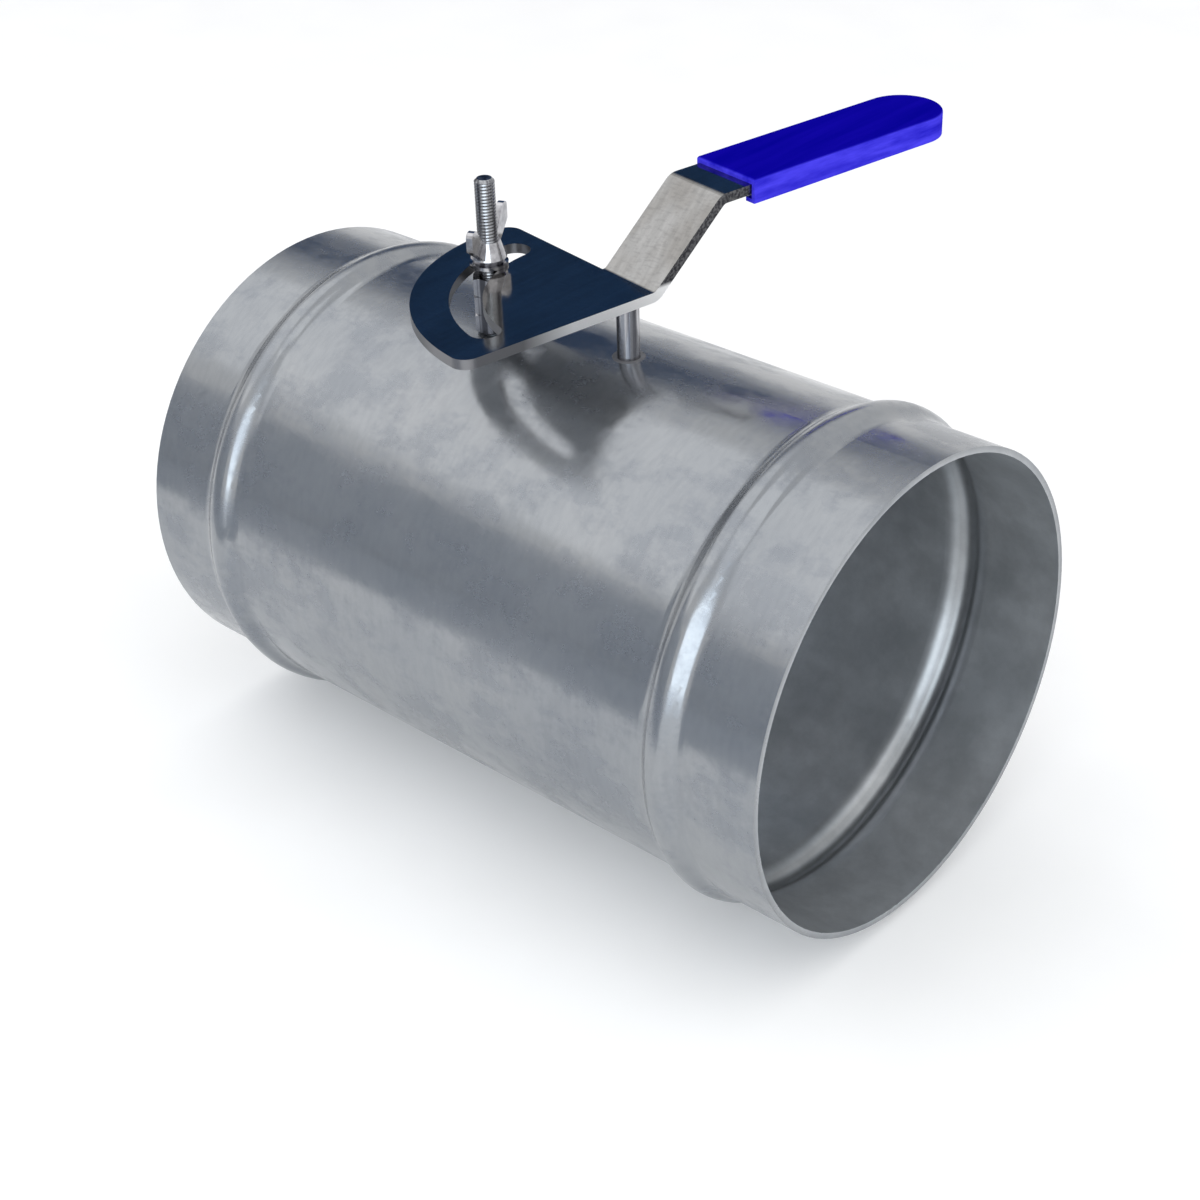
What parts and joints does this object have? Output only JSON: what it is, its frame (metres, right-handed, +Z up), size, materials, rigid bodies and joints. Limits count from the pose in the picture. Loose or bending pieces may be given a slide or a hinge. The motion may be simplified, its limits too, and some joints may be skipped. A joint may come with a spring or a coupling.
{
  "type": "manual duct damper",
  "caption": "Round sheet-metal duct section with rolled beads, a pivoting disc blade and a folded quadrant lever with a vinyl grip, locked by a wing nut.",
  "frame": {"origin": "centre of the inlet spigot's end, on the duct's axis", "axes": "+X along the duct from inlet to outlet, +Z up the shaft to the lever, +Y to the side the lever points to at rest"},
  "size_m": [0.2, 0.165, 0.162],
  "materials": {
    "galvanised_steel": "mottled hot-dip galvanised sheet, satin",
    "bright_steel": "bright drawn and turned steel",
    "polished_sheet": "polished cold-rolled sheet",
    "plated_casting": "bright plated casting",
    "blue_vinyl": "dipped vinyl, satin",
    "nylon": "moulded grey nylon"
  },
  "bodies": {
    "duct": {"duct_body": "galvanised_steel", "upper_bush": "nylon", "lower_bush": "nylon", "lock_bolt": "bright_steel", "base_nut": "bright_steel", "jam_nut": "bright_steel", "rest_nut": "bright_steel"},
    "lever": {"quadrant_lever": "polished_sheet", "handle_grip": "blue_vinyl", "shaft": "bright_steel", "damper_blade": "galvanised_steel", "blade_screws": "bright_steel", "thrust_washer": "bright_steel", "retaining_ring": "bright_steel"},
    "washer": {"clamp_washer": "bright_steel"},
    "wing": {"wing_nut": "plated_casting"}
  },
  "joints": [
    {"name": "lever_turn", "type": "hinge", "parent": "duct", "child": "lever", "pos_m": [0.114, 0, 0], "axis": [0, 0, 1], "range_deg": [-61, 17]},
    {"name": "washer_lift", "type": "slide", "parent": "duct", "child": "washer", "axis": [0, 0, 1], "range_m": [0, 0.0017]},
    {"name": "wing_nut_turn", "type": "hinge", "parent": "washer", "child": "wing", "pos_m": [0.07746, -0.00844, 0.08], "axis": [0, 0, 1], "range_deg": [0, 720]}
  ],
  "couplings": [
    {"joint": "washer_lift", "follows": "wing_nut_turn", "m_per_rad": 0.00012732}
  ]
}
